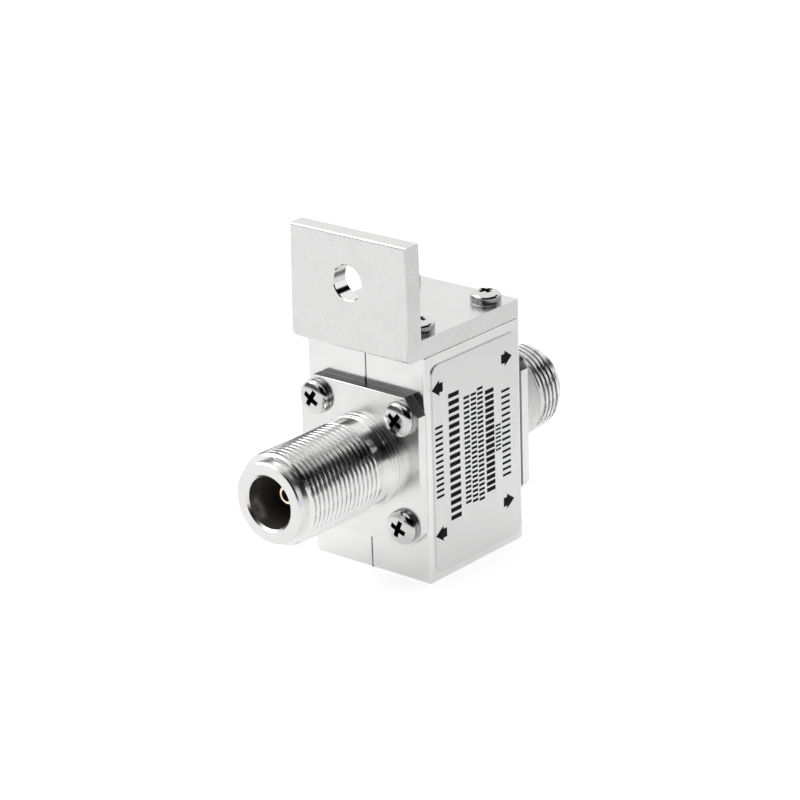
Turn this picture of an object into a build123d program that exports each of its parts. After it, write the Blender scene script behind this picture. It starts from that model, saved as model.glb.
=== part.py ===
"""Coax lightning arrestor: a plated two-part box with a threaded coaxial jack on
each end, an angle bracket on top and a bonded nameplate on one side.

Frame: origin at the centre of the box's underside, +Z up. The antenna jack
points along -Y, the equipment jack along +Y and the nameplate faces +X.
"""
import os
from build123d import *

os.makedirs("parts", exist_ok=True)

# Box
box_width = 25.3
box_depth = 24.8
box_height = 39.7
box_edge_radius = 0.6
box_top_edge_radius = 0.3
seam_chamfer = 0.22
end_wall = 3.0
floor_thickness = 7.0
roof_thickness = 7.0
pocket_corner_radius = 2.0
pocket_web = 1.5

# Both jacks
port_height = box_height / 2
gasket_thickness = 0.2
flange_width = 25.2
flange_height = 26.2
flange_corner_chamfer = 2.9
flange_thickness = 1.8
flange_screw_margin = 3.65
collar_diameter = 16.3
thread_diameter = 15.875
thread_pitch = 1.058
thread_depth = 0.573
thread_groove_width = 0.46
turns_per_groove = 2
relief_diameter = 14.6
nose_diameter = 13.7
nose_length = 1.7
lead_chamfer = 0.45
nose_edge_break = 0.25
socket_bore_diameter = 8.5
bore_mouth_chamfer = 0.2
reference_depth = 9.1

# What sets the two jacks apart
antenna_barrel_length = 22.7
antenna_collar_length = 1.8
antenna_relief_length = 2.2
equipment_barrel_length = 16.7
equipment_collar_length = 9.4
equipment_relief_length = 1.0

# Insulators and contacts
insulator_diameter = 7.2
insulator_boss_diameter = 8.8
insulator_boss_depth = 3.0
insulator_stand = 0.6
insulator_hole_clearance = 0.1
contact_recess = 4.4
contact_diameter = 3.04
contact_bore_diameter = 1.65
contact_bore_depth = 5.0
contact_seat_depth = 3.0
tail_diameter = 2.0
tail_length = 3.0
tail_end_clearance = 0.3

# Screws
screw_diameter = 2.84
flange_head_diameter = 5.9
flange_head_height = 1.75
flange_head_side = 0.75
flange_head_crown = 2.8
bracket_head_diameter = 5.2
bracket_head_height = 1.9
bracket_head_side = 1.6
bracket_head_crown = 4.2
screw_reach = 4.5
screw_hole_clearance = 0.15
screw_end_clearance = 0.6

# Bracket
bracket_thickness = 3.175
bracket_side_margin = 0.24
bracket_side_shift = 0.09
bracket_height = 19.5
bracket_overhang = 3.7
bracket_hole_diameter = 5.9
bracket_hole_height = 11.4
bracket_corner_radius = 1.2
bracket_edge_radius = 0.5
bracket_heel_radius = 0.3
bracket_cut_slope = 1.7
bracket_screw_margin = 3.75
bracket_screw_shift = -0.25

# Nameplate
nameplate_thickness = 0.25
nameplate_front_margin = 1.4
nameplate_back_margin = 1.0
nameplate_bottom_margin = 1.5
nameplate_top_margin = 1.9
nameplate_corner_radius = 1.6

# Parts inside the box
line_width = 5.0
line_thickness = 4.0
plate_thickness = 1.2
plate_margin = 0.5
capacitor_thickness = 2.0
capacitor_side_clearance = 0.48
gas_tube_length = 5.6
gas_tube_cap_length = 1.2
gas_tube_side_clearance = 0.55
gas_tube_neck = 0.3
holder_wall = 0.4
holder_grip = 1.5
holder_base_thickness = 1.0
holder_post_diameter = 2.5
coil_core_diameter = 5.0
coil_core_rim = 0.8
coil_winding_diameter = 4.2
coil_lead_diameter = 0.8
coil_lead_length = 1.5

# Values worked out from the sizes above
half_width = box_width / 2
half_depth = box_depth / 2
flange_stack = gasket_thickness + flange_thickness
flange_screw_pitch = (flange_width - 2 * flange_screw_margin, flange_height - 2 * flange_screw_margin)
cavity_half_width = flange_screw_pitch[0] / 2 - screw_diameter / 2 - pocket_web
cavity_depth = box_depth - 2 * end_wall
cavity_height = box_height - floor_thickness - roof_thickness
capacitor_diameter = 2 * (cavity_half_width - capacitor_side_clearance)
plate_diameter = capacitor_diameter - 2 * plate_margin
line_outer_end = half_depth - end_wall - insulator_stand
line_inner_end = capacitor_thickness / 2 + plate_thickness
line_middle = (line_outer_end + line_inner_end) / 2
gas_tube_diameter = line_outer_end - line_inner_end - 2 * gas_tube_side_clearance
bracket_width = box_width - 2 * bracket_side_margin
bracket_top = box_height + bracket_thickness
bracket_front = -half_depth - bracket_overhang
bracket_hole_centre = box_height + bracket_hole_height
bracket_screw_centre = (bracket_side_shift, bracket_screw_shift)
bracket_screw_pitch = box_depth - 2 * bracket_screw_margin
tapped_depth = screw_reach + screw_end_clearance

ANTENNA = -1
EQUIPMENT = 1


def face_plane(side, distance):
    """Plane square to a jack's axis, this far out from the box face."""
    origin = (0, side * (half_depth + distance), port_height)
    return Plane(origin=origin, x_dir=(1, 0, 0), z_dir=(0, side, 0))


def profile_plane(side):
    """Plane through a jack's axis: radius along X, distance out from the box along Y."""
    origin = (0, side * half_depth, port_height)
    return Plane(origin=origin, x_dir=(1, 0, 0), z_dir=(0, 0, side))


def port_axis(side):
    return Axis((0, side * half_depth, port_height), (0, side, 0))


def revolved(side, points, mode=Mode.ADD):
    """Turn a closed outline of (radius, distance out) points about a jack's axis."""
    with BuildSketch(profile_plane(side)) as outline:
        with BuildLine():
            Polyline(*points, close=True)
        make_face()
    revolve(outline.sketch, axis=port_axis(side), mode=mode)


def headed_screw(seat, shank_length, head_diameter, side_height, crown_diameter, head_height):
    """One screw: head on top of its seat plane, shank running down from it."""
    radius = screw_diameter / 2
    head_radius = head_diameter / 2
    along = Plane(origin=seat.origin, x_dir=seat.x_dir, z_dir=-seat.y_dir)
    with BuildSketch(along) as outline:
        with BuildLine():
            Polyline(
                (0, -shank_length),
                (radius, -shank_length),
                (radius, 0),
                (head_radius, 0),
                (head_radius, side_height),
                (crown_diameter / 2, head_height),
                (0, head_height),
                close=True)
        make_face()
    revolve(outline.sketch, axis=Axis(seat.origin, seat.z_dir))


# Box halves


def box_half(side):
    """Half of the box on one side of the seam, pocketed from the seam face."""
    with BuildPart() as half:
        with Locations((side * half_width / 2, 0, box_height / 2)):
            Box(half_width, box_depth, box_height)
        off_seam = [e for e in half.edges() if abs(e.center().X) > 1e-3]
        fillet([e for e in off_seam if e.center().Z < box_height - 1e-3], box_edge_radius)
        top_rim = half.faces().sort_by(Axis.Z)[-1].edges()
        fillet([e for e in top_rim if abs(e.center().X) > 1e-3], box_top_edge_radius)
        seam = half.faces().sort_by(Axis.X)[0 if side > 0 else -1]
        chamfer(seam.edges(), seam_chamfer)
        with BuildSketch(Plane.YZ):
            with Locations((0, floor_thickness + cavity_height / 2)):
                RectangleRounded(cavity_depth, cavity_height, pocket_corner_radius)
        extrude(amount=side * cavity_half_width, mode=Mode.SUBTRACT)
        for port in (ANTENNA, EQUIPMENT):
            with BuildSketch(face_plane(port, 0)):
                Circle(insulator_boss_diameter / 2 + insulator_hole_clearance)
            extrude(amount=-end_wall - pocket_web, mode=Mode.SUBTRACT)
            with BuildSketch(face_plane(port, 0)):
                with GridLocations(*flange_screw_pitch, 2, 2):
                    Circle(screw_diameter / 2)
            extrude(amount=-tapped_depth, mode=Mode.SUBTRACT)
        with BuildSketch(Plane.XY.offset(box_height)):
            with Locations(bracket_screw_centre):
                with GridLocations(bracket_screw_pitch, bracket_screw_pitch, 2, 2):
                    Circle(screw_diameter / 2)
        extrude(amount=-tapped_depth, mode=Mode.SUBTRACT)
    return half


housing_left = box_half(-1)
housing_left.part.label = "housing_left"
housing_right = box_half(1)
housing_right.part.label = "housing_right"


# Jacks


def jack_body(side, barrel_length, collar_length, relief_length, grooved):
    """Flange, threaded barrel and nose turned and milled from one piece.

    A grooved barrel has a narrow ring groove, as deep as the thread, at every
    second turn.
    """
    nose_end = flange_stack + barrel_length
    nose_root = nose_end - nose_length
    collar_end = flange_stack + collar_length
    thread_start = collar_end + relief_length
    reference = nose_end - reference_depth
    thread_end = nose_root - lead_chamfer
    thread_radius = thread_diameter / 2
    nose_radius = nose_diameter / 2
    bore_radius = socket_bore_diameter / 2
    groove_spacing = turns_per_groove * thread_pitch
    groove_count = int((thread_end - thread_start) / groove_spacing) if grooved else 0
    first_groove = (thread_start + thread_end - (groove_count - 1) * groove_spacing) / 2
    grooves = []
    for number in range(groove_count):
        middle = first_groove + number * groove_spacing
        grooves += [
            (thread_radius, middle - thread_groove_width / 2),
            (thread_radius - thread_depth, middle),
            (thread_radius, middle + thread_groove_width / 2),
        ]
    with BuildPart() as body:
        with BuildSketch(face_plane(side, gasket_thickness)):
            flange = Rectangle(flange_width, flange_height)
            chamfer(flange.vertices(), flange_corner_chamfer)
        extrude(amount=flange_thickness)
        rim = body.faces().sort_by(Axis.Y)[0 if side < 0 else -1]
        chamfer(rim.edges(), nose_edge_break / 2)
        revolved(side, [
            (0, gasket_thickness),
            (collar_diameter / 2, gasket_thickness),
            (collar_diameter / 2, collar_end - nose_edge_break),
            (collar_diameter / 2 - nose_edge_break, collar_end),
            (relief_diameter / 2, collar_end),
            (relief_diameter / 2, thread_start),
            (thread_radius, thread_start),
            *grooves,
            (thread_radius, thread_end),
            (thread_radius - lead_chamfer, nose_root),
            (nose_radius, nose_root),
            (nose_radius, nose_end - nose_edge_break),
            (nose_radius - nose_edge_break, nose_end),
            (0, nose_end),
        ])
        revolved(side, [
            (0, gasket_thickness),
            (insulator_boss_diameter / 2, gasket_thickness),
            (insulator_boss_diameter / 2, gasket_thickness + insulator_boss_depth),
            (insulator_diameter / 2, gasket_thickness + insulator_boss_depth),
            (insulator_diameter / 2, reference),
            (bore_radius, reference),
            (bore_radius, nose_end - bore_mouth_chamfer),
            (bore_radius + bore_mouth_chamfer, nose_end),
            (0, nose_end),
        ], mode=Mode.SUBTRACT)
        with BuildSketch(face_plane(side, gasket_thickness)):
            with GridLocations(*flange_screw_pitch, 2, 2):
                Circle(screw_diameter / 2 + screw_hole_clearance)
        extrude(amount=flange_thickness, mode=Mode.SUBTRACT)
    return body


def jack_gasket(side):
    """Thin conductive gasket between the box and a flange."""
    with BuildPart() as gasket:
        with BuildSketch(face_plane(side, 0)):
            sheet = Rectangle(flange_width - 2 * box_edge_radius, flange_height - 2 * box_edge_radius)
            chamfer(sheet.vertices(), flange_corner_chamfer)
            Circle(insulator_boss_diameter / 2 + insulator_hole_clearance, mode=Mode.SUBTRACT)
            with GridLocations(*flange_screw_pitch, 2, 2):
                Circle(screw_diameter / 2 + screw_hole_clearance, mode=Mode.SUBTRACT)
        extrude(amount=gasket_thickness)
    return gasket


def jack_insulator(side, barrel_length):
    """Stepped bead that carries the contact through the flange and the box wall."""
    reference = flange_stack + barrel_length - reference_depth
    boss_end = gasket_thickness + insulator_boss_depth
    socket_end = reference - contact_seat_depth
    with BuildPart() as bead:
        revolved(side, [
            (tail_diameter / 2, -end_wall - insulator_stand),
            (insulator_boss_diameter / 2, -end_wall - insulator_stand),
            (insulator_boss_diameter / 2, boss_end),
            (insulator_diameter / 2, boss_end),
            (insulator_diameter / 2, reference),
            (contact_diameter / 2, reference),
            (contact_diameter / 2, socket_end),
            (tail_diameter / 2, socket_end),
        ])
    return bead


def jack_contact(side, barrel_length):
    """Centre contact: a bored socket at the mouth and a solder tail in the box."""
    nose_end = flange_stack + barrel_length
    tip = nose_end - contact_recess
    socket_end = nose_end - reference_depth - contact_seat_depth
    tail_end = -end_wall - insulator_stand - tail_length
    edge = (contact_diameter - contact_bore_diameter) / 8
    with BuildPart() as contact:
        revolved(side, [
            (0, tail_end),
            (tail_diameter / 2, tail_end),
            (tail_diameter / 2, socket_end),
            (contact_diameter / 2, socket_end),
            (contact_diameter / 2, tip - edge),
            (contact_diameter / 2 - edge, tip),
            (contact_bore_diameter / 2 + edge, tip),
            (contact_bore_diameter / 2, tip - edge),
            (contact_bore_diameter / 2, tip - contact_bore_depth),
            (0, tip - contact_bore_depth),
        ])
    return contact


def flange_screws(side):
    """The four screws that hold one flange across the seam."""
    across, rise = flange_screw_pitch[0] / 2, flange_screw_pitch[1] / 2
    outer = side * (half_depth + flange_stack)
    with BuildPart() as screws:
        for x in (-across, across):
            for z in (port_height - rise, port_height + rise):
                seat = Plane(origin=(x, outer, z), x_dir=(1, 0, 0), z_dir=(0, side, 0))
                headed_screw(seat, flange_stack + screw_reach, flange_head_diameter,
                             flange_head_side, flange_head_crown, flange_head_height)
    return screws


antenna_connector = jack_body(
    ANTENNA, antenna_barrel_length, antenna_collar_length, antenna_relief_length, grooved=True)
antenna_connector.part.label = "antenna_connector"
equipment_connector = jack_body(
    EQUIPMENT, equipment_barrel_length, equipment_collar_length, equipment_relief_length,
    grooved=False)
equipment_connector.part.label = "equipment_connector"

antenna_gasket = jack_gasket(ANTENNA)
antenna_gasket.part.label = "antenna_gasket"
equipment_gasket = jack_gasket(EQUIPMENT)
equipment_gasket.part.label = "equipment_gasket"

antenna_insulator = jack_insulator(ANTENNA, antenna_barrel_length)
antenna_insulator.part.label = "antenna_insulator"
equipment_insulator = jack_insulator(EQUIPMENT, equipment_barrel_length)
equipment_insulator.part.label = "equipment_insulator"

antenna_contact = jack_contact(ANTENNA, antenna_barrel_length)
antenna_contact.part.label = "antenna_contact"
equipment_contact = jack_contact(EQUIPMENT, equipment_barrel_length)
equipment_contact.part.label = "equipment_contact"

antenna_flange_screws = flange_screws(ANTENNA)
antenna_flange_screws.part.label = "antenna_flange_screws"
equipment_flange_screws = flange_screws(EQUIPMENT)
equipment_flange_screws.part.label = "equipment_flange_screws"


# Bracket: an angle whose leg lies on the box and whose plate stands in front of it

with BuildPart() as mounting_bracket:
    bracket_side = Plane.YZ.offset(bracket_side_shift)
    with BuildSketch(bracket_side) as bracket_side_view:
        with BuildLine():
            Polyline(
                (half_depth, box_height),
                (half_depth, bracket_top),
                (bracket_front + bracket_thickness, bracket_top),
                (bracket_front + bracket_thickness, box_height + bracket_height),
                (bracket_front, box_height + bracket_height),
                (bracket_front, box_height),
                close=True)
        make_face()
    extrude(amount=bracket_width / 2)
    extrude(bracket_side_view.sketch, amount=-bracket_width / 2 - bracket_thickness)
    sawn_end = Plane(origin=(bracket_side_shift - bracket_width / 2, 0, box_height + bracket_height / 2),
                     z_dir=(1, 0, 0)).rotated((0, bracket_cut_slope, 0))
    split(bisect_by=sawn_end, keep=Keep.TOP)
    fillet(mounting_bracket.edges().filter_by(Axis.Y).group_by(Axis.Z)[0].sort_by(Axis.X)[0],
           bracket_corner_radius)
    fillet(mounting_bracket.edges().filter_by(Axis.Z).group_by(Axis.Y)[-1], bracket_heel_radius)
    front_rim = mounting_bracket.faces().sort_by(Axis.Y)[0].edges()
    fillet(front_rim, bracket_edge_radius)
    with BuildSketch(Plane(origin=(0, bracket_front, bracket_hole_centre),
                           x_dir=(1, 0, 0), z_dir=(0, -1, 0))):
        Circle(bracket_hole_diameter / 2)
    extrude(amount=-bracket_thickness, mode=Mode.SUBTRACT)
    with BuildSketch(Plane.XY.offset(box_height)):
        with Locations(bracket_screw_centre):
            with GridLocations(bracket_screw_pitch, bracket_screw_pitch, 2, 2):
                Circle(screw_diameter / 2 + screw_hole_clearance)
    extrude(amount=bracket_thickness, mode=Mode.SUBTRACT)
mounting_bracket.part.label = "mounting_bracket"

with BuildPart() as bracket_screws:
    with Locations(bracket_screw_centre):
        with GridLocations(bracket_screw_pitch, bracket_screw_pitch, 2, 2) as places:
            seats = [place.position for place in places.locations]
    for spot in seats:
        headed_screw(Plane(origin=(spot.X, spot.Y, bracket_top)), bracket_thickness + screw_reach,
                     bracket_head_diameter, bracket_head_side, bracket_head_crown, bracket_head_height)
bracket_screws.part.label = "bracket_screws"


# Nameplate: a thin foil with rounded corners, bonded on the right side

with BuildPart() as nameplate:
    plate_depth = box_depth - nameplate_front_margin - nameplate_back_margin
    plate_height = box_height - nameplate_bottom_margin - nameplate_top_margin
    plate_centre = ((nameplate_front_margin - nameplate_back_margin) / 2,
                    nameplate_bottom_margin + plate_height / 2)
    with BuildSketch(Plane.YZ.offset(half_width)):
        with Locations(plate_centre):
            RectangleRounded(plate_depth, plate_height, nameplate_corner_radius)
    extrude(amount=nameplate_thickness)
nameplate.part.label = "nameplate"


# Inside the box: two line bars, the blocking capacitor between them, the gas tube
# from the antenna line to the floor and the drain coil from the equipment line to the roof


def line_bar(side):
    """Flat bar with a round plate at its inner end, drilled for the contact's tail."""
    bar_length = line_outer_end - capacitor_thickness / 2
    bore_depth = tail_length + tail_end_clearance
    with BuildPart() as bar:
        with BuildSketch(face_plane(side, line_outer_end - half_depth)):
            Rectangle(line_width, line_thickness)
        extrude(amount=-bar_length)
        with BuildSketch(face_plane(side, capacitor_thickness / 2 - half_depth)):
            Circle(plate_diameter / 2)
        extrude(amount=plate_thickness)
        with BuildSketch(face_plane(side, line_outer_end - half_depth)):
            Circle(tail_diameter / 2)
        extrude(amount=-bore_depth, mode=Mode.SUBTRACT)
    return bar


antenna_line = line_bar(ANTENNA)
antenna_line.part.label = "antenna_line"
equipment_line = line_bar(EQUIPMENT)
equipment_line.part.label = "equipment_line"

with BuildPart() as blocking_capacitor:
    with BuildSketch(face_plane(EQUIPMENT, -capacitor_thickness / 2 - half_depth)):
        Circle(capacitor_diameter / 2)
    extrude(amount=capacitor_thickness)
    chamfer(blocking_capacitor.edges(), capacitor_thickness / 8)
blocking_capacitor.part.label = "blocking_capacitor"

line_underside = port_height - line_thickness / 2
gas_tube_foot = line_underside - gas_tube_length
gas_tube_axis = Axis((0, ANTENNA * line_middle, 0), (0, 0, 1))

with BuildPart() as gas_tube:
    tube_radius = gas_tube_diameter / 2
    with BuildSketch(Plane(origin=gas_tube_axis.position, x_dir=(1, 0, 0), z_dir=(0, -1, 0))):
        with BuildLine():
            Polyline(
                (0, gas_tube_foot),
                (tube_radius, gas_tube_foot),
                (tube_radius, gas_tube_foot + gas_tube_cap_length),
                (tube_radius - gas_tube_neck, gas_tube_foot + gas_tube_cap_length),
                (tube_radius - gas_tube_neck, line_underside - gas_tube_cap_length),
                (tube_radius, line_underside - gas_tube_cap_length),
                (tube_radius, line_underside),
                (0, line_underside),
                close=True)
        make_face()
    revolve(axis=gas_tube_axis)
gas_tube.part.label = "gas_tube"

with BuildPart() as gas_tube_holder:
    cup_radius = gas_tube_diameter / 2 + holder_wall
    post_radius = holder_post_diameter / 2
    cup_base = gas_tube_foot - holder_base_thickness
    with BuildSketch(Plane(origin=gas_tube_axis.position, x_dir=(1, 0, 0), z_dir=(0, -1, 0))):
        with BuildLine():
            Polyline(
                (0, floor_thickness),
                (post_radius, floor_thickness),
                (post_radius, cup_base),
                (cup_radius, cup_base),
                (cup_radius, gas_tube_foot + holder_grip),
                (gas_tube_diameter / 2, gas_tube_foot + holder_grip),
                (gas_tube_diameter / 2, gas_tube_foot),
                (0, gas_tube_foot),
                close=True)
        make_face()
    revolve(axis=gas_tube_axis)
gas_tube_holder.part.label = "gas_tube_holder"

coil_foot = port_height + line_thickness / 2
cavity_roof = box_height - roof_thickness
coil_axis = Axis((0, EQUIPMENT * line_middle, 0), (0, 0, 1))

with BuildPart() as drain_coil:
    lead_radius = coil_lead_diameter / 2
    rim_radius = coil_core_diameter / 2
    winding_radius = coil_winding_diameter / 2
    core_foot = coil_foot + coil_lead_length
    core_top = cavity_roof - coil_lead_length
    with BuildSketch(Plane(origin=coil_axis.position, x_dir=(1, 0, 0), z_dir=(0, -1, 0))):
        with BuildLine():
            Polyline(
                (0, coil_foot),
                (lead_radius, coil_foot),
                (lead_radius, core_foot),
                (rim_radius, core_foot),
                (rim_radius, core_foot + coil_core_rim),
                (winding_radius, core_foot + coil_core_rim),
                (winding_radius, core_top - coil_core_rim),
                (rim_radius, core_top - coil_core_rim),
                (rim_radius, core_top),
                (lead_radius, core_top),
                (lead_radius, cavity_roof),
                (0, cavity_roof),
                close=True)
        make_face()
    revolve(axis=coil_axis)
drain_coil.part.label = "drain_coil"


export_step(housing_left.part, "parts/housing_left.step")
export_step(housing_right.part, "parts/housing_right.step")
export_step(antenna_connector.part, "parts/antenna_connector.step")
export_step(equipment_connector.part, "parts/equipment_connector.step")
export_step(antenna_gasket.part, "parts/antenna_gasket.step")
export_step(equipment_gasket.part, "parts/equipment_gasket.step")
export_step(antenna_insulator.part, "parts/antenna_insulator.step")
export_step(equipment_insulator.part, "parts/equipment_insulator.step")
export_step(antenna_contact.part, "parts/antenna_contact.step")
export_step(equipment_contact.part, "parts/equipment_contact.step")
export_step(antenna_flange_screws.part, "parts/antenna_flange_screws.step")
export_step(equipment_flange_screws.part, "parts/equipment_flange_screws.step")
export_step(mounting_bracket.part, "parts/mounting_bracket.step")
export_step(bracket_screws.part, "parts/bracket_screws.step")
export_step(nameplate.part, "parts/nameplate.step")
export_step(antenna_line.part, "parts/antenna_line.step")
export_step(equipment_line.part, "parts/equipment_line.step")
export_step(blocking_capacitor.part, "parts/blocking_capacitor.step")
export_step(gas_tube.part, "parts/gas_tube.step")
export_step(gas_tube_holder.part, "parts/gas_tube_holder.step")
export_step(drain_coil.part, "parts/drain_coil.step")
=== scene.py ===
import math

import bmesh
import bpy
from mathutils import Matrix, Vector


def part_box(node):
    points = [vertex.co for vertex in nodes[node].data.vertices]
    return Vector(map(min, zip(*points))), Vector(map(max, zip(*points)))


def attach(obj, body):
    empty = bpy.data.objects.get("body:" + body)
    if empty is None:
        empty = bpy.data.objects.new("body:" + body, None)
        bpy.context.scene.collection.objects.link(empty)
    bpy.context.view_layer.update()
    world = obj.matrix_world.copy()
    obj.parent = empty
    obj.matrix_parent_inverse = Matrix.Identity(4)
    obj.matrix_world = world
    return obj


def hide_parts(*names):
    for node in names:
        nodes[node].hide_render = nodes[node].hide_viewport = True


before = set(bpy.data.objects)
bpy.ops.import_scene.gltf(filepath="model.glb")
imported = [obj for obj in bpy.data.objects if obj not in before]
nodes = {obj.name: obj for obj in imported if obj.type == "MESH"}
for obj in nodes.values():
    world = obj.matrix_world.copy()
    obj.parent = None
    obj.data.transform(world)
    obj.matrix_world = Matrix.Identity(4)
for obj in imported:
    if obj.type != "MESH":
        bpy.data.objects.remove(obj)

MM = 0.001
FULL_TURN = 2 * math.pi
ANTENNA = -1
EQUIPMENT = 1

scene = bpy.context.scene
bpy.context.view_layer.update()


def box_mm(node):
    """Lowest and highest corner of a CAD node in millimetres."""
    low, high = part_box(node)
    return low / MM, high / MM


# Sizes in millimetres, read from the frame. A length along a jack starts at the box's face.

housing_low, housing_high = box_mm("housing_right")
half_depth = housing_high.y
contact_low, contact_high = box_mm("antenna_contact")
port_height = (contact_low.z + contact_high.z) / 2
gasket_low, gasket_high = box_mm("antenna_gasket")
gasket_thickness = gasket_high.y - gasket_low.y
jack_low, jack_high = box_mm("antenna_connector")
flange_half = (jack_high.x, (jack_high.z - jack_low.z) / 2)
nose_ends = {
    ANTENNA: -jack_low.y - half_depth,
    EQUIPMENT: box_mm("equipment_connector")[1].y - half_depth,
}
screws_low, screws_high = box_mm("antenna_flange_screws")
top_screws_low, top_screws_high = box_mm("bracket_screws")
bracket_front = box_mm("mounting_bracket")[0].y
nameplate_face = box_mm("nameplate")[1].x

# Flange and gasket

flange_thickness = 1.8
flange_front = gasket_thickness + flange_thickness
flange_chamfer = 2.9
flange_edge_break = 0.07
thickest_edge_break = 1 / 3  # of a plate's thickness
gasket_inset = 0.12

# Collar with its two ring lines, relief and thread

collar_radius = 8.15
collar_lengths = {ANTENNA: 1.8, EQUIPMENT: 9.4}
collar_ends = {side: flange_front + length for side, length in collar_lengths.items()}
line_width = 0.22
line_depth = 0.12
line_from_flange = 0.22
line_from_collar_end = 0.66
relief_radius = 7.3
relief_lengths = {ANTENNA: 2.2, EQUIPMENT: 1.0}
thread_starts = {side: collar_ends[side] + length for side, length in relief_lengths.items()}
thread_radius = 7.9375
thread_pitch = 1.058
thread_depth = 0.573
thread_crest = thread_pitch / 8
flank_angle = 30
lead_chamfer = 0.45
root_shares = {ANTENNA: 0.62, EQUIPMENT: 0.38}  # of the thread's depth, where the root begins

# Nose and bore

edge_break = 0.25
nose_radius = 6.85
nose_length = 1.7
nose_roots = {side: end - nose_length for side, end in nose_ends.items()}
mouth_radius = 4.85
mouth_chamfer = 0.4
taper_depth = 3.0
bore_radius = 4.25
reference_depth = 9.1
insulator_radius = 3.6
boss_radius = 4.4
boss_depth = 3.0

# Socket contact

contact_radius = 1.52
contact_round = 0.12
contact_seat_depth = 3.0
contact_flare_radius = 1.08
contact_flare_depth = 0.3
contact_bore_radius = 0.825
contact_bore_depth = 5.0
tail_radius = 1.0

# Screws. A head's side is the height of its straight edge, and more fullness a fuller dome.

screw_radius = 1.42
hole_clearance = 0.15
flange_head = {"radius": 2.95, "height": 1.75, "side": 0.6, "fullness": 2.3, "recess": 3.4}
bracket_head = {"radius": 2.6, "height": 1.9, "side": 0.85, "fullness": 2.6, "recess": 2.7}
recess_wing = 0.98
recess_narrowing = 0.7
recess_depth = 1.3
recess_taper = 0.5
cutter_lift = 0.5

# How each cross recess is turned, in degrees, by the corner that its screw is in

flange_screw_turns = {(-1, 1): 58, (1, 1): 52, (1, -1): 68, (-1, -1): 20}
bracket_screw_turns = {(-1, -1): 20, (1, -1): 10, (1, 1): 72, (-1, 1): 60}

# Fineness of the round forms

barrel_segments = 112
rings_per_pitch = 16
hole_segments = 48
contact_segments = 48
head_segments = 64
dome_steps = 14

# Tests that pick faces: room in millimetres, and limits on a normal's share along an axis

slack = 0.02
facing = 0.9
edge_on = 0.3

# Edges flatter than this angle, in degrees, are shaded smooth

smooth_below = 35

# Corners of a rectangle, as signs of its half sizes

quadrants = ((1, 1), (-1, 1), (-1, -1), (1, -1))


# Meshes


def band(bm, this, after):
    """Quads between two rings that have as many vertices."""
    for i in range(len(this)):
        j = (i + 1) % len(this)
        bm.faces.new((this[i], this[j], after[j], after[i]))


def closed_loops(bm, rings):
    """Quads between each ring of vertices and the next, and from the last to the first."""
    for this, after in zip(rings, rings[1:] + rings[:1]):
        band(bm, this, after)


def solid(bm, rings):
    """A closed body from rings of vertices, with one face over each end."""
    for this, after in zip(rings, rings[1:]):
        band(bm, this, after)
    bm.faces.new(rings[0])
    bm.faces.new(rings[-1])


def jack_point(side, radius, angle, out):
    """A point on a jack, in millimetres: angle about its axis, out from the box's face."""
    return Vector((
        -side * radius * math.cos(angle),
        side * (half_depth + out),
        port_height + radius * math.sin(angle)))


def off_jack_axis(point):
    return math.hypot(point.x, point.z - port_height)


def thread_shape(out, angle, start, end):
    """Radius of a right-hand thread at a place on its barrel."""
    flank = thread_depth * math.tan(math.radians(flank_angle))
    phase = ((out - start) / thread_pitch - angle / FULL_TURN) % 1
    off_crest = abs(phase - 0.5) * thread_pitch - thread_crest / 2
    depth = min(max(off_crest / flank, 0), 1) * thread_depth
    lead = thread_radius - lead_chamfer + (end - out)
    return min(thread_radius - depth, lead)


def barrel(bm, side):
    """The turned part of a jack, with its helical thread and its stepped bore."""
    collar_end = collar_ends[side]
    thread_start = thread_starts[side]
    nose_root = nose_roots[side]
    nose_end = nose_ends[side]
    reference = nose_end - reference_depth
    boss_end = gasket_thickness + boss_depth
    turns = (nose_root - thread_start) / thread_pitch
    steps = math.ceil(turns * rings_per_pitch)
    angles = [FULL_TURN * i / barrel_segments for i in range(barrel_segments)]

    def ring(radius, out):
        return [bm.verts.new(jack_point(side, radius, a, out)) for a in angles]

    rings = [ring(collar_radius, gasket_thickness)]
    for line in (flange_front + line_from_flange, collar_end - line_from_collar_end):
        rings += [
            ring(collar_radius, line - line_width / 2),
            ring(collar_radius - line_depth, line),
            ring(collar_radius, line + line_width / 2),
        ]
    rings += [
        ring(collar_radius, collar_end - line_depth),
        ring(collar_radius - line_depth, collar_end),
        ring(relief_radius, collar_end),
        ring(relief_radius, thread_start),
    ]
    for step in range(steps + 1):
        out = thread_start + (nose_root - thread_start) * step / steps
        rings.append([
            bm.verts.new(jack_point(side, thread_shape(out, a, thread_start, nose_root), a, out))
            for a in angles])
    rings += [
        ring(nose_radius, nose_root),
        ring(nose_radius, nose_end - edge_break),
        ring(nose_radius - edge_break, nose_end),
        ring(mouth_radius, nose_end),
        ring(mouth_radius - mouth_chamfer, nose_end - mouth_chamfer),
        ring(bore_radius, nose_end - taper_depth),
        ring(bore_radius, reference),
        ring(insulator_radius, reference),
        ring(insulator_radius, boss_end),
        ring(boss_radius, boss_end),
        ring(boss_radius, gasket_thickness),
    ]
    closed_loops(bm, rings)


def octagon(across, up, corner):
    """Corners of a rectangle with cut corners, as (across, up) points from its half sizes."""
    points = [(across, up - corner), (across - corner, up)]
    points += [(-x, y) for x, y in reversed(points)]
    return points + [(-x, -y) for x, y in points]


def circle(radius, count, centre=(0, 0)):
    """Points of a circle, as (across, up)."""
    angles = [FULL_TURN * i / count for i in range(count)]
    return [(centre[0] + radius * math.cos(a), centre[1] + radius * math.sin(a)) for a in angles]


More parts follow.
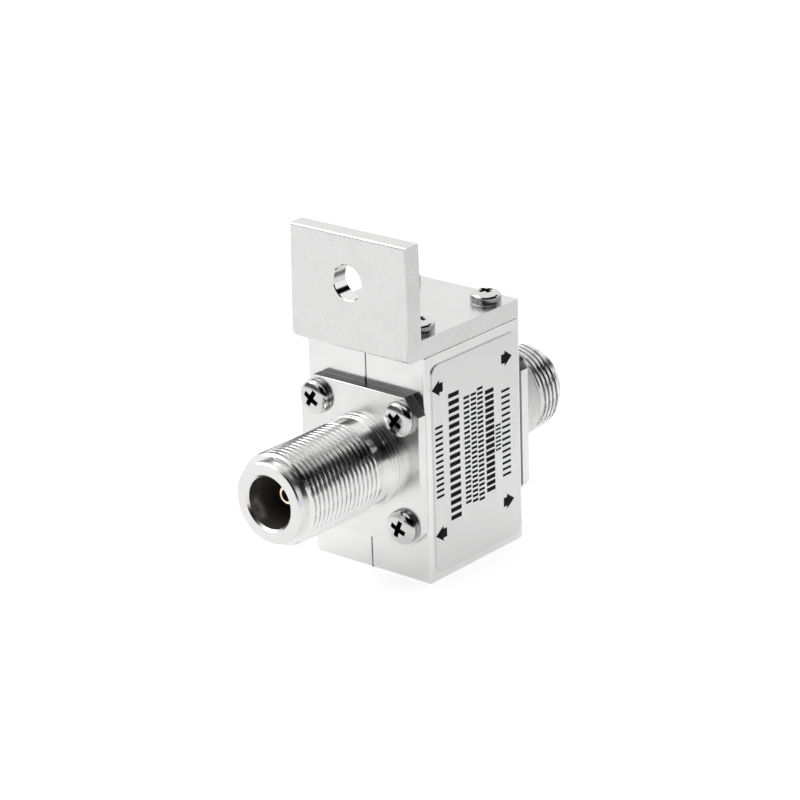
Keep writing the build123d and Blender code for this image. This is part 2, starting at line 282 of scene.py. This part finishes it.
def plate(bm, boundaries, low, high, rim, place):
    """A flat plate with holes. A boundary gives its points for how far its rim is broken back."""
    caps = {low: [], high: []}
    for boundary in boundaries:
        rings = []
        for height, back in ((low, 0), (high - rim, 0), (high, rim)):
            rings.append([bm.verts.new(place(x, y, height)) for x, y in boundary(back)])
        for this, after in zip(rings, rings[1:]):
            band(bm, this, after)
        for height, loop in ((low, rings[0]), (high, rings[-1])):
            caps[height] += [bm.edges.get((loop[i], loop[i - 1])) for i in range(len(loop))]
    for edges in caps.values():
        bmesh.ops.triangle_fill(bm, use_beauty=True, edges=edges)


def link(name, bm):
    """A new object from a mesh drawn in millimetres."""
    bmesh.ops.recalc_face_normals(bm, faces=bm.faces)
    mesh = bpy.data.meshes.new(name)
    bm.to_mesh(mesh)
    bm.free()
    mesh.transform(Matrix.Scale(MM, 4))
    obj = bpy.data.objects.new(name, mesh)
    scene.collection.objects.link(obj)
    return obj


def cut(obj, cutters):
    """The mesh left when the cutters are taken from an object; none of the objects stays."""
    for cutter in cutters:
        modifier = obj.modifiers.new("cut", "BOOLEAN")
        modifier.operation = "DIFFERENCE"
        modifier.solver = "EXACT"
        modifier.object = cutter
    depsgraph = bpy.context.evaluated_depsgraph_get()
    mesh = bpy.data.meshes.new_from_object(obj.evaluated_get(depsgraph))
    for used in (obj, *cutters):
        bpy.data.objects.remove(used)
    return mesh


def dress(obj, finish, replaced=(), patches=()):
    """Shading, finish and place in the frame for a finished piece.

    Each patch is a second finish and a test that picks its faces by centre and normal. A face
    that passes more than one test takes the last one's finish.
    """
    mesh = obj.data
    for face in mesh.polygons:
        face.use_smooth = True
    mesh.set_sharp_from_angle(angle=math.radians(smooth_below))
    mesh.materials.append(finish.material)
    for number, (patch_finish, chosen) in enumerate(patches, start=1):
        mesh.materials.append(patch_finish.material)
        for face in mesh.polygons:
            if chosen(face.center / MM, face.normal):
                face.material_index = number
    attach(obj, "root")
    for node in replaced:
        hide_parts(node)
    return obj


def even_shading(obj):
    """Corner normals weighted by area, so that flat faces stay flat beside rounded edges."""
    mesh = obj.data
    around = [[] for vertex in mesh.vertices]
    for face in mesh.polygons:
        for vertex in face.vertices:
            around[vertex].append(face)
    limit = math.cos(math.radians(smooth_below))
    normals = []
    for face in mesh.polygons:
        for vertex in face.vertices:
            total = Vector((0, 0, 0))
            for other in around[vertex]:
                if other.normal.dot(face.normal) > limit:
                    total += other.normal * other.area
            normals.append(total.normalized())
    mesh.normals_split_custom_set(normals)


# Procedural finishes


class Finish:
    """A material with one Principled shader, built from a few noise layers."""

    def __init__(self, name, colour, metallic=0.0, roughness=0.5, **inputs):
        self.material = bpy.data.materials.new(name)
        self.material.use_nodes = True
        self.tree = self.material.node_tree
        self.shader = next(n for n in self.tree.nodes if n.type == "BSDF_PRINCIPLED")
        self.colour = colour
        self.shader.inputs["Base Color"].default_value = (*colour, 1)
        self.shader.inputs["Metallic"].default_value = metallic
        self.shader.inputs["Roughness"].default_value = roughness
        for key, value in inputs.items():
            self.shader.inputs[key.replace("_", " ")].default_value = value
        self.coordinates = self.tree.nodes.new("ShaderNodeTexCoord")

    def noise(self, per_mm, detail=3.0, stretch=(1, 1, 1)):
        """Noise with this many features to a millimetre, slower along a stretched axis."""
        mapping = self.tree.nodes.new("ShaderNodeMapping")
        mapping.inputs["Scale"].default_value = tuple(per_mm / MM / s for s in stretch)
        texture = self.tree.nodes.new("ShaderNodeTexNoise")
        texture.inputs["Scale"].default_value = 1.0
        texture.inputs["Detail"].default_value = detail
        self.tree.links.new(self.coordinates.outputs["Object"], mapping.inputs["Vector"])
        self.tree.links.new(mapping.outputs["Vector"], texture.inputs["Vector"])
        return texture.outputs["Fac"]

    def between(self, value, low, high, start=0.3, end=0.7):
        """A value that runs between two limits while another runs from start to end."""
        spread = self.tree.nodes.new("ShaderNodeMapRange")
        spread.inputs["From Min"].default_value = start
        spread.inputs["From Max"].default_value = end
        spread.inputs["To Min"].default_value = low
        spread.inputs["To Max"].default_value = high
        self.tree.links.new(value, spread.inputs["Value"])
        return spread.outputs["Result"]

    def tint(self, value, other):
        """Colour runs from the base colour to another one with a value."""
        mix = self.tree.nodes.new("ShaderNodeMix")
        mix.data_type = "RGBA"
        mix.inputs["A"].default_value = (*self.colour, 1)
        mix.inputs["B"].default_value = (*other, 1)
        self.tree.links.new(value, mix.inputs["Factor"])
        self.tree.links.new(mix.outputs["Result"], self.shader.inputs["Base Color"])

    def rough(self, value):
        self.tree.links.new(value, self.shader.inputs["Roughness"])

    def bump(self, value, depth_mm):
        """Relief in the shader's normal."""
        node = self.tree.nodes.new("ShaderNodeBump")
        node.inputs["Distance"].default_value = depth_mm * MM
        self.tree.links.new(value, node.inputs["Height"])
        self.tree.links.new(node.outputs["Normal"], self.shader.inputs["Normal"])


# Clouds are in every plating's roughness, stains in its colour: features to a millimetre, detail

clouds = (0.6, 4)
stains = (0.25, 5)
stains_start, stains_end = 0.45, 0.75
grain_detail = 2


def plating(name, colour, low, high, grain, depth_mm, kept, stretch=(1, 1, 1), metallic=1.0):
    """Metal plating: roughness from low to high in clouds, stains that keep this share of the
    colour, and this many grains to a millimetre, this deep."""
    finish = Finish(name, colour, metallic=metallic)
    finish.rough(finish.between(finish.noise(*clouds, stretch), low, high))
    finish.tint(finish.between(finish.noise(*stains), 0, 1, stains_start, stains_end),
                tuple(c * kept for c in colour))
    finish.bump(finish.noise(grain, grain_detail, stretch), depth_mm)
    return finish


bright = (0.93, 0.93, 0.925)
satin = (0.85, 0.85, 0.845)
along_jack = (1, 3, 1)
along_flange_edge = (1, 6, 1)

housing_finish = plating("housing_plating", bright, 0.14, 0.20, 5.0, 0.0012, 0.95)
connector_finish = plating(
    "connector_plating", (0.96, 0.96, 0.955), 0.13, 0.19, 6.0, 0.0010, 0.94, along_jack)
flange_finish = plating(
    "flange_plating", (0.91, 0.91, 0.905), 0.20, 0.26, 5.0, 0.0012, 0.95)
nose_finish = plating("nose_plating", bright, 0.22, 0.28, 5.0, 0.0012, 0.95)
# Painted shade in the thread's grooves; the equipment jack's copy is darker, a more shaded copy
painted_shade_root_finish = plating("thread_root_painted_shade", (0.62, 0.62, 0.62), 0.24, 0.34, 5.0, 0.0012, 0.9)
shaded_root_finish = plating(
    "shaded_root", (0.34, 0.34, 0.345), 0.24, 0.34, 5.0, 0.0012, 0.9)
# The screw heads' straight sides are painted dark, as shade and dark reflection
painted_shade_side_finish = plating("head_side_painted_shade", (0.38, 0.38, 0.385), 0.16, 0.24, 7.0, 0.0008, 0.92)
bracket_finish = plating("bracket_plating", satin, 0.24, 0.32, 4.0, 0.0040, 0.95)
screw_finish = plating("screw_steel", (0.78, 0.78, 0.775), 0.12, 0.18, 7.0, 0.0008, 0.92)
# The flange's cut top and bottom faces: real milled grain, and a dark colour that is a painted
# dark reflection
dark_reflection_edge_finish = plating(
    "milled_edge_painted_dark_reflection", (0.22, 0.22, 0.225), 0.30, 0.42, 5.0, 0.004, 0.85, along_flange_edge)
# Painted shade: the cross recesses and the contact's socket are painted near black
painted_shade_recess_finish = plating("recess_painted_shade", (0.055, 0.053, 0.052), 0.35, 0.5, 5.0, 0.002, 0.8)
# The bore's wall is painted dark as the shade inside the jack's mouth
painted_shade_bore_finish = plating(
    "bore_wall_painted_shade", (0.25, 0.245, 0.24), 0.22, 0.28, 3.0, 0.002, 0.95, metallic=0.6)
collar_finish = plating("satin_collar", (0.88, 0.88, 0.875), 0.46, 0.6, 3.0, 0.004, 0.9)
# Painted shade for the gap in the box's seam
seam_shade_finish = plating("seam_painted_shade", (0.06, 0.06, 0.06), 0.5, 0.6, 4.0, 0.002, 0.8)
hole_finish = plating("hole_wall", bright, 0.06, 0.10, 5.0, 0.0008, 0.95)
contact_finish = plating("contact_gold", (0.98, 0.60, 0.26), 0.16, 0.26, 6.0, 0.0008, 0.85)
brass_finish = plating("line_brass", (0.80, 0.62, 0.33), 0.22, 0.34, 4.0, 0.002, 0.9)

# Painted light: the contact's rim glows by itself, so that it shows bright deep inside the bore
rim_colour = (1.0, 0.86, 0.66)
glowing_rim_finish = Finish("contact_rim_painted_glow", rim_colour, metallic=0.2, roughness=0.35,
                    Emission_Color=(*rim_colour, 1), Emission_Strength=0.8)
glowing_rim_finish.bump(glowing_rim_finish.noise(6.0), 0.001)

foil_finish = Finish("nameplate_foil", bright, metallic=0.9)
foil_finish.rough(foil_finish.between(foil_finish.noise(0.8, 3, (1, 1, 6)), 0.36, 0.46))
foil_finish.bump(foil_finish.noise(6.0, 2, (1, 1, 8)), 0.0012)

ink_finish = Finish("nameplate_ink", (0.008, 0.008, 0.009), roughness=0.6,
                    Specular_IOR_Level=0.1)
ink_finish.tint(ink_finish.between(ink_finish.noise(3.0), 0, 1), (0.014, 0.014, 0.015))

gasket_finish = Finish("gasket_elastomer", (0.50, 0.50, 0.51), metallic=0.8, roughness=0.45)
gasket_finish.bump(gasket_finish.noise(4.0), 0.01)

ptfe_finish = Finish("insulator_ptfe", (0.10, 0.062, 0.042))
ptfe_finish.rough(ptfe_finish.between(ptfe_finish.noise(1.5), 0.35, 0.5))

ceramic_finish = Finish("ceramic", (0.72, 0.55, 0.38), roughness=0.5)
ceramic_finish.bump(ceramic_finish.noise(5.0), 0.005)

enamel_finish = Finish("coil_enamel", (0.45, 0.16, 0.06), roughness=0.35)
enamel_finish.bump(enamel_finish.noise(2.0, 1, (6, 6, 0.3)), 0.05)


# Jacks

flange_half_pitch = (screws_high.x - flange_head["radius"],
                     (screws_high.z - screws_low.z) / 2 - flange_head["radius"])
corner_shrink = 2 - math.sqrt(2)  # of a cut corner, as its outline moves in by one


def flange(bm, side, middle_radius, inset, low, high):
    """A plate with cut corners, a round middle hole and four screw holes."""
    boundaries = [
        lambda back: octagon(flange_half[0] - inset - back, flange_half[1] - inset - back,
                             flange_chamfer - (inset + back) * corner_shrink),
        lambda back: circle(middle_radius, barrel_segments),
    ]
    for x in (-flange_half_pitch[0], flange_half_pitch[0]):
        for z in (-flange_half_pitch[1], flange_half_pitch[1]):
            boundaries.append(
                lambda back, at=(x, z): circle(screw_radius + hole_clearance, hole_segments, at))
    plate(bm, boundaries, low, high,
          min(flange_edge_break, (high - low) * thickest_edge_break),
          lambda x, z, out: Vector((x, side * (half_depth + out), port_height + z)))


def gasket(side, name, node):
    """The thin gasket, drawn almost out to the flange's edge."""
    bm = bmesh.new()
    flange(bm, side, boss_radius, gasket_inset, 0, gasket_thickness)
    dress(link(name, bm), gasket_finish, [node])


def jack(side, name, node):
    """Flange, barrel and bore in one piece, in place of a CAD jack."""
    bm = bmesh.new()
    barrel(bm, side)
    flange(bm, side, collar_radius, 0, gasket_thickness, flange_front)
    # The antenna thread's painted root shade takes in the ring-shaped face at the thread's start
    root_start = thread_starts[side] + (slack if side == EQUIPMENT else -slack)

    def out_of_box(point):
        return abs(point.y) - half_depth

    def on_flange(centre, normal):
        return out_of_box(centre) < flange_front + slack

    # The flange's cut top and bottom faces, which take the painted dark reflection
    def on_cut_edge(centre, normal):
        return on_flange(centre, normal) and abs(normal.z) > facing and (
            abs(centre.z - port_height) > flange_half[1] - slack)

    def in_thread_root(centre, normal):
        return root_start < out_of_box(centre) < nose_roots[side] - lead_chamfer and (
            off_jack_axis(centre) < thread_radius - thread_depth * root_shares[side])

    def on_nose(centre, normal):
        return out_of_box(centre) > nose_roots[side] + slack

    # The bore's inner faces, which take the painted shade
    def in_bore(centre, normal):
        return off_jack_axis(centre) < mouth_radius - mouth_chamfer and (
            out_of_box(centre) < nose_ends[side] - mouth_chamfer)

    def on_rear_collar(centre, normal):
        return side == EQUIPMENT and not in_bore(centre, normal) and (
            flange_front + edge_break < out_of_box(centre) < collar_ends[side] - edge_break)

    dress(link(name, bm), connector_finish, [node], patches=[
        (flange_finish, on_flange),
        (dark_reflection_edge_finish, on_cut_edge),
        (painted_shade_root_finish if side == ANTENNA else shaded_root_finish, in_thread_root),
        (nose_finish, on_nose),
        (painted_shade_bore_finish, in_bore),
        (collar_finish, on_rear_collar)])


def contact(side, name, node):
    """Socket contact with a rounded rim, from its solder tail to its bore."""
    low, high = box_mm(node)
    tail, front = sorted((side * low.y - half_depth, side * high.y - half_depth))
    seat = nose_ends[side] - reference_depth - contact_seat_depth
    bore_end = front - contact_bore_depth
    profile = [
        (tail_radius, tail),
        (tail_radius, seat),
        (contact_radius, seat),
        (contact_radius, front - contact_round),
        (contact_radius - contact_round, front),
        (contact_flare_radius, front),
        (contact_bore_radius, front - contact_flare_depth),
        (contact_bore_radius, bore_end),
    ]
    angles = [FULL_TURN * i / contact_segments for i in range(contact_segments)]
    bm = bmesh.new()
    solid(bm, [[bm.verts.new(jack_point(side, radius, a, out)) for a in angles]
               for radius, out in profile])

    # The rim's faces, which take the painted glow
    def on_rim(centre, normal):
        return abs(centre.y) - half_depth > front - contact_round

    # The socket's hollow, painted dark as the shade inside it
    def in_socket(centre, normal):
        return off_jack_axis(centre) < contact_flare_radius and (
            abs(centre.y) - half_depth > bore_end - slack)

    dress(link(name, bm), contact_finish, [node],
          patches=[(glowing_rim_finish, on_rim), (painted_shade_recess_finish, in_socket)])


jack(ANTENNA, "antenna_jack", "antenna_connector")
gasket(ANTENNA, "antenna_gasket_sheet", "antenna_gasket")
gasket(EQUIPMENT, "equipment_gasket_sheet", "equipment_gasket")
contact(ANTENNA, "antenna_socket", "antenna_contact")
contact(EQUIPMENT, "equipment_socket", "equipment_contact")
jack(EQUIPMENT, "equipment_jack", "equipment_connector")


# Screws


def screw_mesh(shank_length, head):
    """A domed screw along +Z with a cross recess, its seat at height 0."""
    profile = [
        (screw_radius - edge_break, -shank_length),
        (screw_radius, edge_break - shank_length),
        (screw_radius, 0),
        (head["radius"] - edge_break / 2, 0),
        (head["radius"], edge_break / 2),
    ]
    power = 2 / head["fullness"]
    dome = head["height"] - head["side"]
    for step in range(dome_steps):
        turn = math.pi / 2 * step / dome_steps
        profile.append((head["radius"] * math.cos(turn)**power,
                        head["side"] + dome * math.sin(turn)**power))
    bm = bmesh.new()
    solid(bm, [[bm.verts.new((x, y, height)) for x, y in circle(radius, head_segments)]
               for radius, height in profile])
    blank = link("screw_blank", bm)
    cutters = []
    for turn in (0, math.pi / 2):
        bm = bmesh.new()
        rings = []
        for height, span, wing in (
                (head["height"] - recess_depth, head["recess"] - 2 * recess_taper,
                 recess_wing * recess_narrowing),
                (head["height"] + cutter_lift, head["recess"], recess_wing)):
            corners = [(x * span / 2, y * wing / 2) for x, y in quadrants]
            rings.append([bm.verts.new((x * math.cos(turn) - y * math.sin(turn),
                                        x * math.sin(turn) + y * math.cos(turn), height))
                          for x, y in corners])
        solid(bm, rings)
        cutters.append(link("recess_cutter", bm))
    return cut(blank, cutters)


def screws(name, node, mesh, head, axis, places):
    """Copies of one screw mesh along an axis, each at a seat in millimetres with its own turn."""
    def from_seat(centre):
        """Distance from the nearest screw's axis, and height above its seat."""
        heights = [(centre - point).dot(axis) for point, turn in places]
        return min(((centre - point - axis * height).length, height)
                   for (point, turn), height in zip(places, heights))

    # Faces of the heads' sides, which take the painted shade
    def on_side(centre, normal):
        off_axis, height = from_seat(centre)
        return abs(normal.dot(axis)) < edge_on and off_axis > head["radius"] - edge_break

    # Faces in the cross recesses, which take the painted shade
    def in_recess(centre, normal):
        off_axis, height = from_seat(centre)
        return height > 0 and off_axis < (head["recess"] + edge_break) / 2 and (
            abs(normal.dot(axis)) < edge_on or height < head["height"] - recess_depth / 2)

    bm = bmesh.new()
    upright = axis.to_track_quat("Z", "Y").to_matrix().to_4x4()
    for point, turn in places:
        copy = mesh.copy()
        spin = Matrix.Rotation(math.radians(turn), 4, "Z")
        copy.transform(Matrix.Translation(point) @ upright @ spin @ Matrix.Scale(1 / MM, 4))
        bm.from_mesh(copy)
        bpy.data.meshes.remove(copy)
    even_shading(dress(link(name, bm), screw_finish, [node],
                       patches=[(painted_shade_side_finish, on_side), (painted_shade_recess_finish, in_recess)]))


flange_screw_mesh = screw_mesh(screws_high.y + half_depth + flange_front, flange_head)
for side, name, node in ((ANTENNA, "antenna_screws", "antenna_flange_screws"),
                         (EQUIPMENT, "equipment_screws", "equipment_flange_screws")):
    screws(name, node, flange_screw_mesh, flange_head, Vector((0, side, 0)), [
        (Vector((x * flange_half_pitch[0], side * (half_depth + flange_front),
                 port_height + z * flange_half_pitch[1])), turn)
        for (x, z), turn in flange_screw_turns.items()])

bracket_seat = top_screws_high.z - bracket_head["height"]
top_middle = (top_screws_low + top_screws_high) / 2
top_half_pitch = (top_screws_high.x - top_screws_low.x) / 2 - bracket_head["radius"]
top_screw_mesh = screw_mesh(bracket_seat - top_screws_low.z, bracket_head)
screws("bracket_top_screws", "bracket_screws", top_screw_mesh, bracket_head, Vector((0, 0, 1)), [
    (Vector((top_middle.x + x * top_half_pitch, top_middle.y + y * top_half_pitch,
             bracket_seat)), turn)
    for (x, y), turn in bracket_screw_turns.items()])


# Bracket: the frame's angle with its drilled hole chamfered at both ends

hole_radius = 2.95
hole_chamfer = 0.15
hole_height = 51.1
plate_thickness = 3.175
bracket_back = bracket_front + plate_thickness
merge_distance = 0.002


def hole_reach(point):
    return math.hypot(point.x, point.z - hole_height)


def hole_angle(vert):
    return math.atan2(vert.co.z - hole_height, vert.co.x)


def in_hole(centre, normal):
    return hole_reach(centre) < hole_radius + hole_chamfer and (
        centre.y < bracket_back + slack and abs(normal.y) < facing)


bm = bmesh.new()
bm.from_mesh(nodes["mounting_bracket"].data)
bm.transform(Matrix.Scale(1 / MM, 4) @ nodes["mounting_bracket"].matrix_world)
bmesh.ops.remove_doubles(bm, verts=bm.verts, dist=merge_distance)
wall = [face for face in bm.faces if in_hole(face.calc_center_median(), face.normal)]
rims = {vert for face in wall for vert in face.verts}
bmesh.ops.delete(bm, geom=wall, context="FACES")
edges = {}
for y in (bracket_front, bracket_back):
    edges[y] = sorted((vert for vert in rims if abs(vert.co.y - y) < slack), key=hole_angle)
    for vert in edges[y]:
        grow = (hole_radius + hole_chamfer) / hole_reach(vert.co)
        vert.co = (vert.co.x * grow, vert.co.y, hole_height + (vert.co.z - hole_height) * grow)
angles = [hole_angle(vert) for vert in edges[bracket_front]]
rings = [edges[bracket_front]]
for y in (bracket_front + hole_chamfer, bracket_back - hole_chamfer):
    rings.append([
        bm.verts.new((hole_radius * math.cos(a), y, hole_height + hole_radius * math.sin(a)))
        for a in angles])
rings.append(edges[bracket_back])
for this, after in zip(rings, rings[1:]):
    band(bm, this, after)
even_shading(dress(link("bracket_angle", bm), bracket_finish,
                   ["mounting_bracket"], patches=[(hole_finish, in_hole)]))


# Nameplate print: four port arrows and plain bars in rows

ink_lift = 0.02
arrow_length = 1.9
arrow_span = 2.7
stem_length = 0.9
stem_span = 1.6
# Each arrow: where its tip is along the box and up it, and which way it points
arrow_tips = [(-11.15, 33.8, -1), (9.73, 33.8, 1), (-11.05, 8.3, -1), (9.68, 8.3, 1)]
# Each column of bars: its middle, its two ends, its width, the bars' spacing and thickness
bar_columns = [
    (-9.62, 14.8, 27.3, 1.9, 1.04, 0.42),
    (-5.68, 9.8, 32.0, 2.7, 1.30, 0.78),
    (-2.40, 11.4, 30.3, 1.45, 0.86, 0.44),
    (-0.60, 11.1, 30.3, 1.4, 0.86, 0.44),
    (1.15, 10.8, 30.8, 1.45, 0.86, 0.44),
    (3.60, 11.6, 29.7, 2.25, 1.10, 0.72),
    (5.75, 18.2, 22.8, 1.4, 0.76, 0.32),
    (7.88, 13.0, 28.4, 2.2, 1.04, 0.42),
]


def ink_shape(bm, points):
    """A thin closed patch of ink on the nameplate from (along, up) points."""
    solid(bm, [[bm.verts.new((x, y, z)) for y, z in points]
               for x in (nameplate_face - ink_lift, nameplate_face + ink_lift)])


bm = bmesh.new()
for tip, z, way in arrow_tips:
    base = tip - way * arrow_length
    tail = base - way * stem_length
    ink_shape(bm, [
        (tip, z), (base, z + arrow_span / 2), (base, z + stem_span / 2), (tail, z + stem_span / 2),
        (tail, z - stem_span / 2), (base, z - stem_span / 2), (base, z - arrow_span / 2)])
for middle, low, high, width, spacing, thickness in bar_columns:
    count = round((high - low - thickness) / spacing)
    left, right = middle - width / 2, middle + width / 2
    for number in range(count + 1):
        foot = low + (high - low - thickness) * number / count
        ink_shape(bm, [(left, foot), (right, foot),
                       (right, foot + thickness), (left, foot + thickness)])
dress(link("nameplate_print", bm), ink_finish)


# A dark sheet at the bottom of the seam's groove, where the box's halves meet: painted shade of
# the narrow gap between them

seam_depth = 0.12
seam_inner_depth = 3 * seam_depth
seam_width = 0.2

bm = bmesh.new()
rings = []
for x in (-seam_width / 2, seam_width / 2):
    for depth in (seam_depth, seam_inner_depth):
        front, back = -half_depth + depth, half_depth - depth
        low, high = housing_low.z + depth, housing_high.z - depth
        rings.append([bm.verts.new((x, y, z)) for y, z in (
            (front, low), (back, low), (back, high), (front, high))])
closed_loops(bm, [rings[0], rings[1], rings[3], rings[2]])
dress(link("seam_shade_line", bm), seam_shade_finish)


# Finishes of the CAD nodes that show as they are

finishes = {
    "housing_left": housing_finish,
    "housing_right": housing_finish,
    "nameplate": foil_finish,
    "antenna_insulator": ptfe_finish,
    "equipment_insulator": ptfe_finish,
    "antenna_line": brass_finish,
    "equipment_line": brass_finish,
    "blocking_capacitor": ceramic_finish,
    "gas_tube": ceramic_finish,
    "gas_tube_holder": brass_finish,
    "drain_coil": enamel_finish,
}
for name, finish in finishes.items():
    materials = nodes[name].data.materials
    if not materials:
        materials.append(None)
    for i in range(len(materials)):
        materials[i] = finish.material


# Camera: the photograph's view

azimuth, elevation, roll = (math.radians(a) for a in (40.51, 20.72, -1.865))
distance = 535.7
target = Vector((-3.392, 0, 25.292))
lens = 143.99
sensor_width = 36.0
clip_start, clip_end = 0.01, 20.0

outward = Vector((math.sin(azimuth) * math.cos(elevation),
                  -math.cos(azimuth) * math.cos(elevation),
                  math.sin(elevation)))
level_right = (-outward).cross(Vector((0, 0, 1))).normalized()
level_up = level_right.cross(-outward)
right = level_right * math.cos(roll) + level_up * math.sin(roll)
up = level_up * math.cos(roll) - level_right * math.sin(roll)
camera = bpy.data.objects.new("camera", bpy.data.cameras.new("camera"))
camera.data.lens = lens
camera.data.sensor_width = sensor_width
camera.data.clip_start = clip_start
camera.data.clip_end = clip_end
camera.matrix_world = Matrix.Translation((target + outward * distance) * MM) @ Matrix(
    (right, up, outward)).transposed().to_4x4()
scene.collection.objects.link(camera)
scene.camera = camera


# Studio: a white tent with soft dark openings, which the metal reflects

tent_strength = 0.90
# Each opening, in degrees about the object (0 before the antenna jack, 90 before the nameplate)
# and above the horizon: from, to and softness about it, the same above, and how dark it is
openings = [
    (-75, -8, 10, 3, 25, 4, 0.9),
    (0, 122, 8, 6, 56, 6, 1.0),
    (122, 162, 8, 29, 46, 6, 1.0),
]

world = bpy.data.worlds.new("studio")
scene.world = world
world.use_nodes = True
tree = world.node_tree
tree.nodes.clear()


def math_node(kind, *values):
    """An operation on numbers and sockets, in the tree that is being built."""
    node = tree.nodes.new("ShaderNodeMath")
    node.operation = kind
    for socket, value in zip(node.inputs, values):
        if isinstance(value, (int, float)):
            socket.default_value = value
        else:
            tree.links.new(value, socket)
    return node.outputs[0]


def smooth(value, start, end):
    """0 at the start, 1 at the end, and smooth between them."""
    node = tree.nodes.new("ShaderNodeMapRange")
    node.interpolation_type = "SMOOTHSTEP"
    node.inputs["From Min"].default_value = start
    node.inputs["From Max"].default_value = end
    tree.links.new(value, node.inputs["Value"])
    return node.outputs["Result"]


def window(value, low, high, soft):
    """1 between two angles in degrees, falling softly to 0 outside them."""
    low, high, soft = (math.radians(a) for a in (low, high, soft))
    return math_node("MULTIPLY", smooth(value, low - soft, low), smooth(value, high + soft, high))


split = tree.nodes.new("ShaderNodeSeparateXYZ")
tree.links.new(tree.nodes.new("ShaderNodeTexCoord").outputs["Generated"], split.inputs[0])
east, north, height = split.outputs
around = math_node("ARCTAN2", east, math_node("MULTIPLY", north, -1.0))
rise = math_node("ARCSINE", height)
dark = 0.0
for left, right, side_soft, bottom, top, rise_soft, darkness in openings:
    opening = math_node("MULTIPLY", window(around, left, right, side_soft),
                        window(rise, bottom, top, rise_soft))
    dark = math_node("MAXIMUM", dark, math_node("MULTIPLY", opening, darkness))
tent = math_node("MULTIPLY", math_node("SUBTRACT", 1.0, dark), tent_strength)
is_camera = tree.nodes.new("ShaderNodeLightPath").outputs["Is Camera Ray"]
unseen = math_node("MULTIPLY", tent, math_node("SUBTRACT", 1.0, is_camera))
background = tree.nodes.new("ShaderNodeBackground")
background.inputs["Color"].default_value = (1, 1, 1, 1)
tree.links.new(math_node("ADD", unseen, is_camera), background.inputs["Strength"])
output = tree.nodes.new("ShaderNodeOutputWorld")
tree.links.new(background.outputs[0], output.inputs["Surface"])

# One soft box, in millimetres and watts

lamp_place = Vector((-560, -260, 620))
lamp_aim = Vector((0, 0, 20))
lamp_size = 600
lamp_watts = 1.6

softbox = bpy.data.lights.new("key_softbox", "AREA")
softbox.shape = "SQUARE"
softbox.size = lamp_size * MM
softbox.energy = lamp_watts
lamp = bpy.data.objects.new("key_softbox", softbox)
scene.collection.objects.link(lamp)
lamp.location = lamp_place * MM
lamp.rotation_mode = "QUATERNION"
lamp.rotation_quaternion = (lamp_place - lamp_aim).to_track_quat("Z", "Y")


# Floor: pale, lifted to white for the camera and in part for the metal, with its shadow kept. The
# glow that the metal sees is painted light: weaker behind the object, a painted shade, and
# stronger near it, a painted pool of light over the object's own shadow

floor_half = 6000
floor_drop = 0.02
floor_grey = 0.80
camera_lift = 0.70
metal_lift_front = 0.32
metal_lift_back = 0.19
metal_lift_near = 0.33
# In metres: half the width of the change from front to back, and where near ends and begins
behind_blend = 0.12
near_end, near_full = 0.13, 0.02

bm = bmesh.new()
bm.faces.new([bm.verts.new((x * floor_half, y * floor_half, -floor_drop)) for x, y in quadrants])
floor = link("floor", bm)
floor_material = bpy.data.materials.new("floor_pale")
floor_material.use_nodes = True
tree = floor_material.node_tree
tree.nodes.clear()
paths = tree.nodes.new("ShaderNodeLightPath").outputs
spot = tree.nodes.new("ShaderNodeSeparateXYZ")
tree.links.new(tree.nodes.new("ShaderNodeTexCoord").outputs["Object"], spot.inputs[0])
east, north, height = spot.outputs
# Painted shade behind the object and a painted pool of light near it, seen only in the metal
behind = smooth(math_node("ADD", east, north), -behind_blend, behind_blend)
reach = math_node("SQRT", math_node("ADD", math_node("POWER", east, 2.0),
                                    math_node("POWER", north, 2.0)))
near = smooth(reach, near_end, near_full)
change = math_node("ADD", math_node("MULTIPLY", near, metal_lift_near),
                   metal_lift_back - metal_lift_front)
metal_lift = math_node("ADD", metal_lift_front, math_node("MULTIPLY", behind, change))
lift = math_node("ADD", math_node("MULTIPLY", paths["Is Camera Ray"], camera_lift),
                 math_node("MULTIPLY", paths["Is Glossy Ray"], metal_lift))
diffuse = tree.nodes.new("ShaderNodeBsdfDiffuse")
diffuse.inputs["Color"].default_value = (floor_grey, floor_grey, floor_grey, 1)
glow = tree.nodes.new("ShaderNodeEmission")
tree.links.new(lift, glow.inputs["Strength"])
both = tree.nodes.new("ShaderNodeAddShader")
tree.links.new(diffuse.outputs[0], both.inputs[0])
tree.links.new(glow.outputs[0], both.inputs[1])
output = tree.nodes.new("ShaderNodeOutputMaterial")
tree.links.new(both.outputs[0], output.inputs["Surface"])
floor.data.materials.append(floor_material)

scene.view_settings.view_transform = "Standard"
